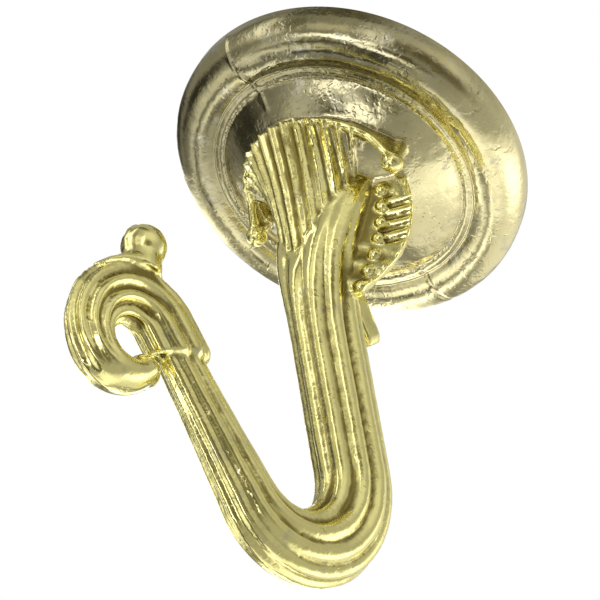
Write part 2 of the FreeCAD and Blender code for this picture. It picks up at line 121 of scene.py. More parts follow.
class RodSizes(bpy.types.PropertyGroup):
    """Neck, stem, bend and arm."""
    start: length("Start", "Ceiling to the rod's top, inside the dome", 0.005)
    drop: length("Drop", "Straight run at the rod's top", 0.0035)
    neck_radius: length("Neck bend", "Radius of the neck's bend", 0.0145)
    neck_thick: length("Neck thickness", "Neck at its top, in the plane of the bend", 0.0064)
    neck_wide: length("Neck width", "Neck at its top, across its cheeks", 0.012)
    cheek_run: length("Cheeks", "Rod's top to the end of the smooth cheeks", 0.019)
    lean: angle("Lean", "Stem's lean from the vertical", 38.5)
    stem_length: length("Stem", "Straight stem", 0.0189)
    stem_thick: length("Stem thickness", "Stem, in the plane of the bend", 0.0085)
    stem_wide: length("Stem width", "Stem, across", 0.0061)
    bend_radius: length("Bend", "Radius of the hook's bend", 0.0075)
    rise: angle("Rise", "Arm's rise from the horizontal", 25.3)
    arm_length: length("Arm", "Bend to the start of the scroll's curl", 0.0174)
    arm_thick: length("Arm thickness", "Arm at the scroll, in the plane of the bend", 0.0045)
    arm_wide: length("Arm width", "Arm at the scroll, across", 0.0033)
    neck_hollow: length("Neck hollow", "Hollow down the neck's outer side, between its cheeks", 0.0011)
    reeds: IntProperty(name="Reeds", description="Reeds round the rod", default=10)
    reed_depth: length("Reed depth", "Grooves between the reeds", 0.00066)


class ScrollSizes(bpy.types.PropertyGroup):
    """The scroll at the arm's end, and its ball."""
    eye_radius: length("Eye", "Radius of the hole in the scroll", 0.0017)
    eye_offset: length("Eye offset", "Middle of the hole, out from the arm's middle", 0.0048)
    collar_run: length("Collar", "Collar where the scroll starts", 0.0051)
    turn: angle("Turn", "Turn of the scroll", 272)
    thick: length("Thickness", "Scroll at its collar, in the plane of the bend", 0.0067)
    wide: length("Width", "Scroll at its collar, across", 0.0042)
    end_thick: length("End thickness", "Scroll at its inner end", 0.0026)
    end_wide: length("End width", "Scroll at its inner end, across", 0.0036)
    tip_radius: length("Tip", "Round end of the scroll", 0.0016)
    ball_radius: length("Ball", "Radius of the ball", 0.0021)
    ball_turn: angle("Ball place", "Ball's place round the scroll", 43)
    ball_lift: length("Ball height", "Ball's middle above the scroll", 0.0024)
    saddle_turn: angle("Saddle end", "Turn of the scroll at which the ball's saddle runs out", 82)
    saddle_wide: length("Saddle width", "Saddle under the ball, across", 0.0038)
    saddle_high: length("Saddle height", "Saddle under the ball, above the scroll", 0.0011)
    collar_round: length("Collar rounding", "Rounded end of the collar, along the arm", 0.0009)
    collar_slant: share("Collar slant", "How far the collar's end slants back towards the eye", 0.55)


class NeckSizes(bpy.types.PropertyGroup):
    """Shell fan, knobs, beads, leaves and spur on the neck."""
    fan_reach: length("Fan reach", "Middle of the fan's round edge, out from the axis", 0.0099)
    fan_side: length("Fan side", "Ends of the fan's round edge, out from the axis", 0.0094)
    fan_lift: length("Fan lift", "Fan's round edge, off the dome", 0.0006)
    fan_back: length("Fan back", "Knobs at the fan's ends, out from the axis", 0.001)
    fan_swell: length("Fan swell", "How far the fan is hollowed", -0.0003)
    flute_turn: angle("Flute turn", "One flute to the next, round the dome", 8.8)
    flute_depth: length("Flute depth", "Height of the flutes", 0.0008)
    lip_radius: length("Fan lip", "Plain lip from the fan to the knobs", 0.00045)
    cheek_rim: length("Cheek rim", "Radius of the raised edge of a cheek", 0.00042)
    knob_radius: length("Knobs", "Radius of the knobs beside the fan", 0.0011)
    knob_side: length("Knob place", "Knobs, out to each side", 0.0098)
    knob_drop: length("Knob drop", "Ceiling to the knobs", 0.00775)
    knob_sink: length("Knob sink", "Knobs' feet, sunk into the dome", 0.0008)
    beads: IntProperty(name="Beads", description="Beads in a row", default=7)
    bead_radius: length("Bead", "Radius of a bead", 0.00066)
    bead_front: length("Bead front", "Beads, out from the leaf's middle towards its front", 0.0007)
    bead_start: length("Bead start", "Rod's top to the first bead", 0.0026)
    bead_end: length("Bead end", "Rod's top to the last bead", 0.0142)
    bead_turn: angle("Bead turn", "Bead row's place round the neck", 72)
    bead_lift: length("Bead lift", "Ends of the bead row, out from the cheek", 0.0008)
    bead_bow: length("Bead bow", "Bow of the bead row", 0.0008)
    leaf_wide: length("Leaf width", "Leaf at its widest, out from the beads", 0.0038)
    leaf_thick: length("Leaf thickness", "Leaf, through", 0.0014)
    leaf_turn: angle("Leaf turn", "Leaf's turn from the plane of the bend", 53)
    leaf_sink: length("Leaf sink", "Leaf's top, sunk into the dome", 0.0018)
    leaf_root: length("Leaf root", "Leaf's root, in from the bead row", 0.0034)
    rib_step: length("Rib step", "One groove of a leaf to the next", 0.00135)
    rib_depth: length("Rib depth", "Depth of a leaf's grooves", 0.0006)
    spur_place: length("Spur place", "Rod's top to the spur", 0.006)
    spur_reach: length("Spur reach", "Spur, out from the rod's middle", 0.0129)
    spur_droop: angle("Spur droop", "Spur's droop from the horizontal", 31.7)
    spur_thick: length("Spur thickness", "Spur, thick and across", 0.0023)


class SkinDetail(bpy.types.PropertyGroup):
    """How finely the forms are cast into one skin."""
    voxel: length("Voxel", "Grain of the joined skin", 0.00019)
    faces: IntProperty(name="Triangles", description="Triangles left on the skin", default=184000)
    wave: length("Waviness", "Unevenness of the cast surface", 0.00004)


class BrassFinish(bpy.types.PropertyGroup):
    """Colours of the plating."""
    bright: colour("Bright brass", "Plating on the hook", (0.91, 0.845, 0.37))
    pale: colour("Pale brass", "Plating on the base", (0.87, 0.80, 0.47))
    dull: colour("Dull brass", "Stained plating in the mottling", (0.50, 0.44, 0.20))
    grey: colour("Grey", "Worn plating with zinc showing", (0.55, 0.54, 0.47))
    tarnish: colour("Tarnish", "Darkened plating on the base's outer side", (0.29, 0.265, 0.165))
    # Grime colour: dark specks of grime in the rough pits, and the painted shade laid into the crevices
    grime_and_shade: colour("Grime", "Stain in the crevices", (0.26, 0.21, 0.06))


class StudioStage(bpy.types.PropertyGroup):
    """Camera, floor and light tent."""
    camera_place: FloatVectorProperty(name="Camera", description="Place of the camera", subtype="XYZ",
                                      unit="LENGTH", default=(-0.05468, -0.10390, -0.13647))
    camera_turn: FloatVectorProperty(name="Camera turn", description="Turn of the camera", subtype="EULER",
                                     default=[math.radians(a) for a in (137.40, -18.04, -47.09)])
    field: angle("Field of view", "Camera's field of view", 20)
    floor_drop: length("Floor", "Ceiling to the floor", 0.36)
    floor_size: length("Floor size", "Floor, across", 3.0)
    tent_radius: length("Tent", "Radius of the light tent round the object", 0.30)


# Points and directions in the plane that the hook bends in

def forward(heading):
    """Direction of a heading in the XZ plane, in radians from +X towards +Z."""
    return np.array((math.cos(heading), 0.0, math.sin(heading)))


def outward(heading):
    """Direction to the left of a heading."""
    return forward(heading + math.pi / 2)


def blend(first, last, part):
    """Value part way from the first to the last."""
    return first + (last - first) * part


def ease(part):
    """A share from 0 to 1, with a soft start and end."""
    part = np.clip(part, 0.0, 1.0)
    return part * part * (3 - 2 * part)


def unit(direction):
    """The direction at length 1."""
    return direction / np.linalg.norm(direction)


# Hollow down the neck: half its turn round the rod in degrees, where it starts to run out, and over what run
HOLLOW_TURN = 26.0
HOLLOW_START = 0.008
HOLLOW_RUN = 0.006


class Rod:
    """The rod's middle line, and its size along it."""

    def __init__(self, sizes):
        self.sizes = sizes
        bend_turn = math.pi / 2 + sizes.lean + sizes.rise
        self.runs = []
        place, heading = np.array((0.0, 0.0, BACK - sizes.start)), -math.pi / 2
        for run, turn in ((sizes.drop, 0.0), (sizes.neck_radius * sizes.lean, sizes.lean),
                          (sizes.stem_length, 0.0), (sizes.bend_radius * bend_turn, -bend_turn),
                          (sizes.arm_length, 0.0)):
            self.runs.append((place, heading, run, turn))
            place, heading = self.along_run(self.runs[-1], run)
        self.length = sum(run[2] for run in self.runs)

    @staticmethod
    def along_run(run, distance):
        """Place and heading at a distance along a straight or arched run."""
        start, heading, whole, turn = run
        if turn == 0:
            return start + forward(heading) * distance, heading
        radius, now = whole / turn, heading + turn * distance / whole
        return start + (outward(heading) - outward(now)) * radius, now

    def at(self, distance):
        """Place and heading at a distance from the rod's top."""
        for run in self.runs[:-1]:
            if distance <= run[2]:
                return self.along_run(run, distance)
            distance -= run[2]
        return self.along_run(self.runs[-1], distance)

    def size(self, distance):
        """Thickness, width and share of the reeds' depth at a distance from the rod's top."""
        sizes = self.sizes
        bend_start = sum(run[2] for run in self.runs[:3])
        flare = ease(distance / sizes.cheek_run)
        taper = ease((distance - bend_start) / (self.length - bend_start))
        thick = blend(blend(sizes.neck_thick, sizes.stem_thick, flare), sizes.arm_thick, taper)
        wide = blend(blend(sizes.neck_wide, sizes.stem_wide, flare), sizes.arm_wide, taper)
        return thick, wide, flare

    def hollow(self, distance):
        """Depth of the hollow down the neck's outer side, between its cheeks."""
        return self.sizes.neck_hollow * (1 - ease((distance - HOLLOW_START) / HOLLOW_RUN))

    def on_side(self, distance, turn, inset=0.0):
        """Point on the rod's skin, or inside it; turn is from its outward side towards +Y."""
        place, heading = self.at(distance)
        thick, wide, _ = self.size(distance)
        return (place + outward(heading) * ((thick / 2 - inset) * math.cos(turn))
                + ACROSS * ((wide / 2 - inset) * math.sin(turn)))


# Closed forms that overlap, gathered before they become one skin

RING_POINTS = 160
# Tilt left out at the poles of an ellipsoid, and a direction that no tube starts in
POLE_GAP = 0.05
OFF_AXIS = (0.31, 0.77, 0.55)


def quads_between(layers, around):
    """Quads between rings of points, each ring closed on itself."""
    return [(i * around + j, i * around + (j + 1) % around, (i + 1) * around + (j + 1) % around,
             (i + 1) * around + j) for i in range(layers - 1) for j in range(around)]


class Forms:
    """Points and faces of closed forms."""

    def __init__(self):
        self.points, self.faces, self.count = [], [], 0

    def add(self, points, faces):
        """One closed form."""
        self.faces += [[self.count + corner for corner in face] for face in faces]
        self.points.append(np.asarray(points, float).reshape(-1, 3))
        self.count += len(self.points[-1])

    def skin(self, rings):
        """A closed skin over rings of points, with both ends capped."""
        rings = np.asarray(rings)
        layers, around = rings.shape[:2]
        faces = quads_between(layers, around)
        first, last = layers * around, layers * around + 1
        tail = (layers - 1) * around
        faces += [(first, (j + 1) % around, j) for j in range(around)]
        faces += [(last, tail + j, tail + (j + 1) % around) for j in range(around)]
        ends = [rings[0].mean(0), rings[-1].mean(0)]
        self.add(np.concatenate([rings.reshape(-1, 3), ends]), faces)

    def ball(self, middle, radii, axes=np.eye(3), rows=24):
        """An ellipsoid with its radii along three axes."""
        tilt = np.linspace(POLE_GAP, math.pi - POLE_GAP, rows)
        turn = np.linspace(0, 2 * math.pi, 2 * rows, endpoint=False)
        local = np.stack([np.outer(np.sin(tilt), np.cos(turn)), np.outer(np.sin(tilt), np.sin(turn)),
                          np.outer(np.cos(tilt), np.ones_like(turn))], axis=-1)
        self.skin(middle + (local * np.asarray(radii)) @ np.asarray(axes))

    def tube(self, line, radii, around=20):
        """A round tube of changing radius along a line of points."""
        line = np.asarray(line)
        ahead = np.gradient(line, axis=0)
        side = np.cross(ahead[0], OFF_AXIS)
        turn = np.linspace(0, 2 * math.pi, around, endpoint=False)[:, None]
        rings = []
        for place, along, radius in zip(line, ahead, radii):
            along = unit(along)
            side = unit(side - along * side.dot(along))
            rings.append(place + radius * (np.cos(turn) * side + np.sin(turn) * np.cross(along, side)))
        self.skin(rings)


def reeded_ring(place, heading, thick, wide, depth, reeds):
    """A ring of points round an oval with reeds: round crests with sharp grooves between them."""
    turn = np.linspace(0, 2 * math.pi, RING_POINTS, endpoint=False)
    phase = (turn * reeds / (2 * math.pi) + 0.5) % 1.0 - 0.5
    inset = depth * (2 * np.abs(phase)) ** 2
    return (place + np.outer((thick / 2 - inset) * np.cos(turn), outward(heading))
            + np.outer((wide / 2 - inset) * np.sin(turn), ACROSS))


# Points along the dome, ring bead and rim of the base's half section, and round the base
DOME_POINTS = 60
BEAD_POINTS = 16
RIM_POINTS = 40
BASE_POINTS = 360
NEAR_AXIS = 1e-6
# One section of the rod to the next
ROD_STEP = 0.0003


def base_profile(base):
    """Half section of the base from the dome's top round to the screw boss: distances out and down."""
    rim_middle = base.radius - base.rim_round
    dip = base.groove_depth - base.land
    rim_end = rim_middle - math.sqrt(base.rim_round ** 2 - dip ** 2)
    ring_middle = rim_end - base.ring_gap - base.ring_round
    foot = ring_middle - base.ring_round
    rise = base.dome_depth - base.groove_depth
    dome_round = (foot ** 2 + rise ** 2) / (2 * rise)
    dome = np.linspace(NEAR_AXIS, foot, DOME_POINTS)
    points = [(r, base.dome_depth - dome_round + math.sqrt(dome_round ** 2 - r ** 2)) for r in dome]
    points += [(ring_middle - base.ring_round * math.cos(a),
                base.groove_depth + base.ring_height * math.sin(a))
               for a in np.linspace(0, math.pi, BEAD_POINTS)]
    start = math.asin(dip / base.rim_round)
    points += [(rim_middle - base.rim_round * math.cos(a), base.land + base.rim_round * math.sin(a))
               for a in np.linspace(start, math.pi, RIM_POINTS)]
    back = base.radius - base.back_rim
    points += [(base.radius, 0.0), (back, 0.0), (back, base.recess_depth),
               (base.boss_radius, base.recess_depth), (base.boss_radius, 0.0), (NEAR_AXIS, 0.0)]
    return np.array(points)


def add_base(forms, base):
    """The base, turned from its half section."""
    turn = np.linspace(0, 2 * math.pi, BASE_POINTS, endpoint=False)
    rings = [np.stack([out * np.cos(turn), out * np.sin(turn), np.full_like(turn, BACK - down)], axis=1)
             for out, down in base_profile(base)]
    forms.skin(rings[::-1])


def dome_at(base, radius):
    """Ceiling to the dome's face, at a distance from the axis."""
    profile = base_profile(base)[:DOME_POINTS]
    return np.interp(radius, profile[:, 0], profile[:, 1])


def add_rod(forms, rod, collar_run):
    """Neck with smooth cheeks, reeded stem, bend and arm."""
    stations = np.arange(0.0, rod.length - collar_run / 2, ROD_STEP)
    dent = np.exp(-((np.linspace(0, 360, RING_POINTS, endpoint=False) - 180) / HOLLOW_TURN) ** 2)
    rings = []
    for distance in stations:
        thick, wide, reeded = rod.size(distance)
        depth = rod.sizes.reed_depth * reeded * (thick / rod.sizes.stem_thick)
        ring = reeded_ring(*rod.at(distance), thick, wide, depth, rod.sizes.reeds)
        rings.append(ring + np.outer(rod.hollow(distance) * dent, outward(rod.at(distance)[1])))
    forms.skin(rings)


# Sections of the collar and the curl, the size of the collar's end, and the reeds' depth on collar and curl
COLLAR_RINGS = 40
CURL_RINGS = 190
COLLAR_END = 0.78
COLLAR_REEDS = 0.7
CURL_REEDS = 1.3
# Shares of the curl over which its reeds deepen and fade, and over which its smooth lobe swells
DEEPEN_RUN = 0.12
FADE_START = 0.5
FADE_RUN = 0.28
LOBE_SWELL = 0.16
LOBE_START = 0.45
LOBE_RUN = 0.3
# Ball's foot: how deep it starts, how far up the ball it goes and how much it narrows
BALL_POINTS = 32
FOOT_RINGS = 8
BALL_FOOT_SINK = 0.0005
BALL_FOOT_TOP = 0.7
BALL_FOOT_TAPER = 0.86
# Saddle's thin end: its height, and its width as a share of the saddle's
SADDLE_RINGS = 40
SADDLE_END_HIGH = 0.0002
SADDLE_END_WIDE = 0.7


class Scroll:
    """The scroll's middle line and size, by its turn from the curl's start."""

    def __init__(self, sizes, rod):
        end, self.heading = rod.at(rod.length)
        self.sizes = sizes
        self.eye = end + outward(self.heading) * sizes.eye_offset

    def at(self, turn):
        """Place, heading, thickness and width at a turn."""
        sizes = self.sizes
        thick = blend(sizes.thick, sizes.end_thick, turn / sizes.turn)
        wide = blend(sizes.wide, sizes.end_wide, turn / sizes.turn)
        heading = self.heading + turn
        return self.eye - outward(heading) * (sizes.eye_radius + thick / 2), heading, thick, wide


def add_scroll(forms, scroll, reeds, reed_depth):
    """The scroll: a collar with a slanted end, a deeply banded curl, a smooth lobe and a round tip."""
    sizes = scroll.sizes
    place, heading, thick, wide = scroll.at(0.0)
    slant = (1 + np.cos(np.linspace(0, 2 * math.pi, RING_POINTS, endpoint=False))) / 2
    rings = []
    for back in np.linspace(sizes.collar_run, 0.0, COLLAR_RINGS):
        full = blend(COLLAR_END, 1.0, math.sqrt(min(1.0, (sizes.collar_run - back) / sizes.collar_round)))
        ring = reeded_ring(place - forward(heading) * back, heading, thick * full, wide * full,
                           reed_depth * COLLAR_REEDS, reeds)
        rings.append(ring + np.outer(sizes.collar_slant * back * slant, forward(heading)))
    for turn in np.linspace(0.0, sizes.turn, CURL_RINGS)[1:]:
        part = turn / sizes.turn
        place, heading, thick, wide = scroll.at(turn)
        lobe = 1 + LOBE_SWELL * ease((part - LOBE_START) / LOBE_RUN)
        deepened = blend(COLLAR_REEDS, CURL_REEDS, ease(part / DEEPEN_RUN))
        depth = reed_depth * deepened * (1 - ease((part - FADE_START) / FADE_RUN))
        rings.append(reeded_ring(place, heading, thick, wide * lobe, depth, reeds))
    forms.skin(rings)
    forms.ball(scroll.at(sizes.turn)[0], [sizes.tip_radius] * 3)


def add_ball(forms, scroll):
    """The ball on the scroll, on a low saddle that runs out along the curl."""
    sizes = scroll.sizes

    def crown(turn, lift):
        place, heading, thick, _ = scroll.at(turn)
        return place - outward(heading) * (thick / 2 + lift), heading

    ball, _ = crown(sizes.ball_turn, sizes.ball_lift)
    forms.ball(ball, [sizes.ball_radius] * 3)
    foot, _ = crown(sizes.ball_turn, -BALL_FOOT_SINK)
    line = [blend(foot, ball, part) for part in np.linspace(0, BALL_FOOT_TOP, FOOT_RINGS)]
    forms.tube(line, sizes.ball_radius * np.linspace(1.0, BALL_FOOT_TAPER, FOOT_RINGS), around=BALL_POINTS)
    rings = []
    around = np.linspace(0, 2 * math.pi, BALL_POINTS, endpoint=False)
    for part in np.linspace(0, 1, SADDLE_RINGS):
        place, heading = crown(blend(sizes.ball_turn, sizes.saddle_turn, part), 0.0)
        high = blend(sizes.saddle_high, SADDLE_END_HIGH, ease(part))
        narrowed = blend(1.0, SADDLE_END_WIDE, part)
        rings.append(place + np.outer(np.cos(around) * high, -outward(heading))
                     + np.outer(np.sin(around) * sizes.saddle_wide / 2 * narrowed, ACROSS))
    forms.skin(rings)


# Where the flutes' feet lie: turn on the dome in degrees, distance down the rod in millimetres, and turn
# round the rod from its outer side in degrees
MILLIMETRE = 0.001
FAN_FEET = np.array(((0, 10.6, 180), (9, 9.8, 161), (18, 8.6, 147), (27, 7.0, 137), (37, 5.1, 124),
                     (46, 3.7, 118), (56, 2.5, 114), (66, 1.6, 109))) * (1, MILLIMETRE, 1)
FOOT_INSET = 0.0004
# Turns on the dome, in degrees: the fan's end, and both ends of the lip, the fin and the cheek's rim
FAN_END = 62.0
LIP_TURNS = (20, 84)
FIN_TURNS = (50, 84)
CHEEK_TURNS = (0.5, 66)
# Points along the fan's edge and across its back, and sections of the fan and its trim
FAN_POINTS = 505
FAN_BACK_POINTS = 40
FAN_RINGS = 60
WALL_RINGS = 12
LIP_RINGS = 60
FIN_RINGS = 40
CHEEK_RINGS = 80
# Ridges: half width as a share of a flute, degrees over which they end, height at the edge, and what they
# lose towards their feet
RIDGE_WIDTH = 0.22
RIDGE_FADE = 3
RIDGE_HIGH = 0.9
RIDGE_LOSS = 0.5
# How far the ridges point down for each step out, and the length of that direction
RIDGE_DOWN = 0.7
RIDGE_SLOPE = 1.22
# Wall behind the fan's edge: inner end and inner face as shares of the radius, and rise into the dome
WALL_INNER = (0.8, 0.8, 1)
WALL_THIN = (0.97, 0.97, 1)
WALL_RISE = 0.002
# Lip: how far up its swell it starts and ends, and its end above the knob's middle
LIP_SWELL = (0.3, 1.6)
LIP_LIFT = 0.0003
# Fin: both sides as shares of the radius, and its rise into the dome
FIN_INNER = (0.95, 0.95, 1)
FIN_OUTER = (1.04, 1.04, 1)
FIN_RISE = 0.0034
# Knob's length, and its foot's radius, as shares of its radius
KNOB_LONG = 1.05
KNOB_FOOT = 0.7


def fan_edge(neck, base, turn):
    """Point of the fan's edge, off the dome at the knobs; turn is in degrees from -X towards +Y."""
    end = math.degrees(math.atan2(neck.knob_side, neck.fan_back))
    rise = ease((abs(turn) - FAN_END) / (end - FAN_END))
    round_edge = blend(neck.fan_reach, neck.fan_side, ease(abs(turn) / FAN_END))
    radius = blend(round_edge, math.hypot(neck.knob_side, neck.fan_back), rise)
    depth = blend(dome_at(base, round_edge) + neck.fan_lift, neck.knob_drop - LIP_LIFT, rise)
    angle = math.radians(turn)
    return np.array((-radius * math.cos(angle), radius * math.sin(angle), BACK - depth))


def fan_foot(rod, turn):
    """Point of the rod's skin where the flute at a turn ends."""
    distance, side = (np.interp(abs(turn), FAN_FEET[:, 0], column) for column in FAN_FEET[:, 1:].T)
    inset = FOOT_INSET + rod.hollow(distance) * math.exp(-((side - 180) / HOLLOW_TURN) ** 2)
    return rod.on_side(distance, math.copysign(math.radians(side), turn), inset)


def add_fan(forms, neck, base, rod):
    """A hollow shell of narrow flutes from the dome to the cheeks, with a lip out to each knob."""
    turns = np.linspace(FAN_END, -FAN_END, FAN_POINTS)
    step = math.degrees(neck.flute_turn)
    phase = (turns / step + 0.5) % 1.0 - 0.5
    ending = ease((FAN_END - np.abs(turns)) / RIDGE_FADE)
    ridge = neck.flute_depth * np.exp(-(phase / RIDGE_WIDTH) ** 2) * ending
    edge = np.array([fan_edge(neck, base, turn) for turn in turns])
    foot = np.array([fan_foot(rod, turn) for turn in turns])
    angle = np.radians(turns)
    out = np.stack([-np.cos(angle), np.sin(angle), np.full_like(angle, -RIDGE_DOWN)], axis=1) / RIDGE_SLOPE
    rings = []
    for part in np.linspace(0, 1, FAN_RINGS):
        lift = neck.fan_swell * 4 * part * (1 - part) + ridge * (RIDGE_HIGH - RIDGE_LOSS * part)
        line = blend(edge, foot, part) + out * lift[:, None]
        closing = blend(line[-1], line[0], np.linspace(0, 1, FAN_BACK_POINTS)[1:-1, None])
        rings.append(np.concatenate([line, closing]))
    forms.skin(rings)
    wall = [blend(edge, edge * WALL_INNER + UP * WALL_RISE, part) for part in np.linspace(0, 1, WALL_RINGS)]
    forms.skin([np.concatenate([line, line[::-1] * WALL_THIN]) for line in wall])
    for side in SIDES:
        lip = np.array([fan_edge(neck, base, side * turn) for turn in np.linspace(*LIP_TURNS, LIP_RINGS)])
        forms.tube(lip, neck.lip_radius * ease(np.linspace(*LIP_SWELL, LIP_RINGS)))
        fin = np.array([fan_edge(neck, base, side * turn) for turn in np.linspace(*FIN_TURNS, FIN_RINGS)])
        inner, outer, top = fin * FIN_INNER, fin * FIN_OUTER, UP * FIN_RISE
        forms.skin(np.stack([inner, outer, outer + top, inner + top], axis=1))
        rim = np.array([fan_foot(rod, side * turn) for turn in np.linspace(*CHEEK_TURNS, CHEEK_RINGS)])
        forms.tube(rim, np.full(CHEEK_RINGS, neck.cheek_rim))


def add_knobs(forms, neck, base):
    """A knob at each end of the fan, on a short foot."""
    for side in SIDES:
        middle = np.array((-neck.fan_back, side * neck.knob_side, BACK - neck.knob_drop))
        foot = BACK - dome_at(base, math.hypot(neck.fan_back, neck.knob_side)) + neck.knob_sink
        forms.ball(middle, (neck.knob_radius * KNOB_LONG, neck.knob_radius, neck.knob_radius))
        line = [middle * (1, 1, 0) + UP * z for z in np.linspace(foot, middle[2], FOOT_RINGS)]
        forms.tube(line, np.full(FOOT_RINGS, KNOB_FOOT * neck.knob_radius))


# Leaf's outline: where it is widest, as a share of its length, how it narrows from there, and its least width
LEAF_ROWS = 160
LEAF_COLUMNS = 40
LEAF_WIDEST = 0.42
LEAF_POWER = 2.2
LEAF_ROUND = 0.36
LEAF_LEAST = 0.12
# Leaf's grooves: slant, half width as a share of a step, and where across and along it they start and end
RIB_SLANT = 0.35
RIB_WIDTH = 0.2
RIB_CLEAR = 0.1
RIB_CLEAR_RUN = 0.2
RIB_START_RUN = 0.0006
RIB_END = 0.5
RIB_END_RUN = 0.1
# Waves on the leaf's lower part: height, step and the share of its length over which they rise
WAVE_HIGH = 0.00012
WAVE_STEP = 0.0021
WAVE_RUN = 0.15
# Leaf's edge: what it loses of the thickness, and how far it bends to the front
EDGE_LOSS = 0.25
EDGE_BEND = 0.0006
# Spur: corners of its chamfered section as shares of its half size, and its size at places along it
SPUR_SECTION = np.array(((-1, -0.8), (-0.8, -1), (0.8, -1), (1, -0.8),
                         (1, 0.8), (0.8, 1), (-0.8, 1), (-1, 0.8)))
SPUR_TAPER = ((0, 1.1), (0.5, 1.05), (0.94, 0.95), (1.0, 0.72))


def leaf_out(neck, side):
    """Direction in which a leaf stands out from the neck."""
    return np.array((math.cos(neck.leaf_turn), side * math.sin(neck.leaf_turn), 0.0))


def bead_place(neck, rod, part, side):
    """Point of a bowed bead row, part way from the first bead to the last."""
    out = leaf_out(neck, side)
    ends = [rod.on_side(distance, side * neck.bead_turn) + out * neck.bead_lift
            for distance in (neck.bead_start, neck.bead_end)]
    return blend(*ends, part) + out * (neck.bead_bow * 4 * part * (1 - part))


def leaf_axes(neck, rod, side):
    """First bead of a row, the row's length, and three directions: down it, out, and to the leaf's front."""
    first, last = bead_place(neck, rod, 0, side), bead_place(neck, rod, 1, side)
    down, out = unit(last - first), leaf_out(neck, side)
    return first, np.linalg.norm(last - first), down, out, side * unit(np.cross(out, down))


def add_beads(forms, neck, rod):
    """A row of beads down each side of the neck, in front of the leaf's root."""
    for side in SIDES:
        front = leaf_axes(neck, rod, side)[-1]
        for part in np.linspace(0, 1, neck.beads):
            forms.ball(bead_place(neck, rod, part, side) + front * neck.bead_front,
                       [neck.bead_radius] * 3, rows=14)


def add_leaves(forms, neck, rod):
    """Leaves that stand out along the bead rows, with grooves across the upper part of both faces."""
    for side in SIDES:
        first, run, down, out, front = leaf_axes(neck, rod, side)
        along = np.linspace(-neck.leaf_sink, run + neck.bead_radius, LEAF_ROWS)
        share_down = (along + neck.leaf_sink) / (run + neck.leaf_sink)
        outline = 1 - np.abs(share_down - LEAF_WIDEST) ** LEAF_POWER / LEAF_ROUND
        reach = neck.leaf_wide * np.clip(outline, LEAF_LEAST, 1)
        rings = []
        for distance, limit in zip(along, reach):
            width = np.linspace(-neck.leaf_root, limit, LEAF_COLUMNS)
            part = np.clip(width / limit, 0, 1)
            phase = ((distance + RIB_SLANT * width) / neck.rib_step) % 1.0 - 0.5
            shown = (ease((part - RIB_CLEAR) / RIB_CLEAR_RUN) * ease(distance / RIB_START_RUN)
                     * (1 - ease((distance / run - RIB_END) / RIB_END_RUN)))
            waves = (WAVE_HIGH * np.cos(2 * math.pi * distance / WAVE_STEP)
                     * ease((distance / run - RIB_END) / WAVE_RUN))
            half = neck.leaf_thick / 2 * (1 - EDGE_LOSS * part) + waves
            half = half - neck.rib_depth * np.exp(-(phase / RIB_WIDTH) ** 2) * shown
            middle = first + down * distance + np.outer(width, out) + np.outer(EDGE_BEND * part ** 2, front)
            through = np.outer(half, front)
            rings.append(np.concatenate([middle + through, (middle - through)[::-1]]))
        forms.skin(rings)


def add_spur(forms, neck, rod):
    """A short spur behind the stem, thinner towards its chamfered end."""
    place, _ = rod.at(neck.spur_place)
    ahead = forward(-neck.spur_droop)
    above = outward(-neck.spur_droop)
    half = neck.spur_thick / 2
    rings = []
    for part, scale in SPUR_TAPER:
        section = SPUR_SECTION * half * scale
        rings.append(place + ahead * neck.spur_reach * part + np.outer(section[:, 0], ACROSS)
                     + np.outer(section[:, 1], above))
    forms.skin(rings)


# One skin over all the forms

# Waviness of the cast skin, in waves a metre, and the fine waves' share
BROAD_WAVES = 420.0
FINE_WAVES = 1300.0
FINE_SHARE = 0.5
# Parting seam: where it starts, out from the axis, how softly, its half width, and its share on the sunk side
SEAM_START = 0.0108
SEAM_SOFT = 0.001
SEAM_WIDTH = 0.00022
SEAM_SUNK = -0.8
# How near to the flat back, and to its walls and floor, a point is moved on to them
BACK_SNAP = 0.0002
WALL_SNAP = 0.00017
# Points this near are one, and an island with fewer faces is a crumb
SAME_POINT = 0.000006
CRUMB_FACES = 200
# Thread: points round it, steps in a turn, depth as a share of the pitch, and the cutter's start off the back
THREAD_POINTS = 48
THREAD_STEPS = 8
THREAD_DEPTH = 0.55
THREAD_ABOVE = 0.0006
# Base's finish: how far off the base's face it ends, and how softly
FINISH_REACH = 0.001
FINISH_SOFT = 0.0005
# Hollows, which the finish darkens with painted shade: rounds of averaging that find them, the depth that
# counts as 1, and rounds that soften them
HOLLOW_ROUNDS = 14
HOLLOW_UNIT = 0.00009
SOFTEN_ROUNDS = 2
SHARP_ANGLE = math.radians(50)


def object_from(name, points, faces):
    """A mesh object in the scene."""
    mesh = bpy.data.meshes.new(name)
    mesh.from_pydata([tuple(p) for p in points], [], faces)
    mesh.update()
    thing = bpy.data.objects.new(name, mesh)
    bpy.context.scene.collection.objects.link(thing)
    return thing


def applied(thing):
    """Applies the object's modifiers."""
    graph = bpy.context.evaluated_depsgraph_get()
    old = thing.data
    mesh = bpy.data.meshes.new_from_object(thing.evaluated_get(graph))
    thing.modifiers.clear()
    thing.data = mesh
    mesh.name = thing.name
    bpy.data.meshes.remove(old)


def make_skin(name, forms, voxel):
    """Joins overlapping closed forms into one even skin."""
    thing = object_from(name, np.concatenate(forms.points), forms.faces)
    remesh = thing.modifiers.new("Joined", "REMESH")
    remesh.mode = "VOXEL"
    remesh.voxel_size = voxel
    smooth = thing.modifiers.new("Soft edges", "SMOOTH")
    smooth.factor = 0.5
    smooth.iterations = 2
    applied(thing)
    return thing


def read_points(mesh):
    """A mesh's points and normals as arrays."""
    points = np.empty(len(mesh.vertices) * 3, np.float32)
    mesh.vertices.foreach_get("co", points)
    normals = np.empty_like(points)
    mesh.vertex_normals.foreach_get("vector", normals)
    return points.reshape(-1, 3).astype(float), normals.reshape(-1, 3).astype(float)


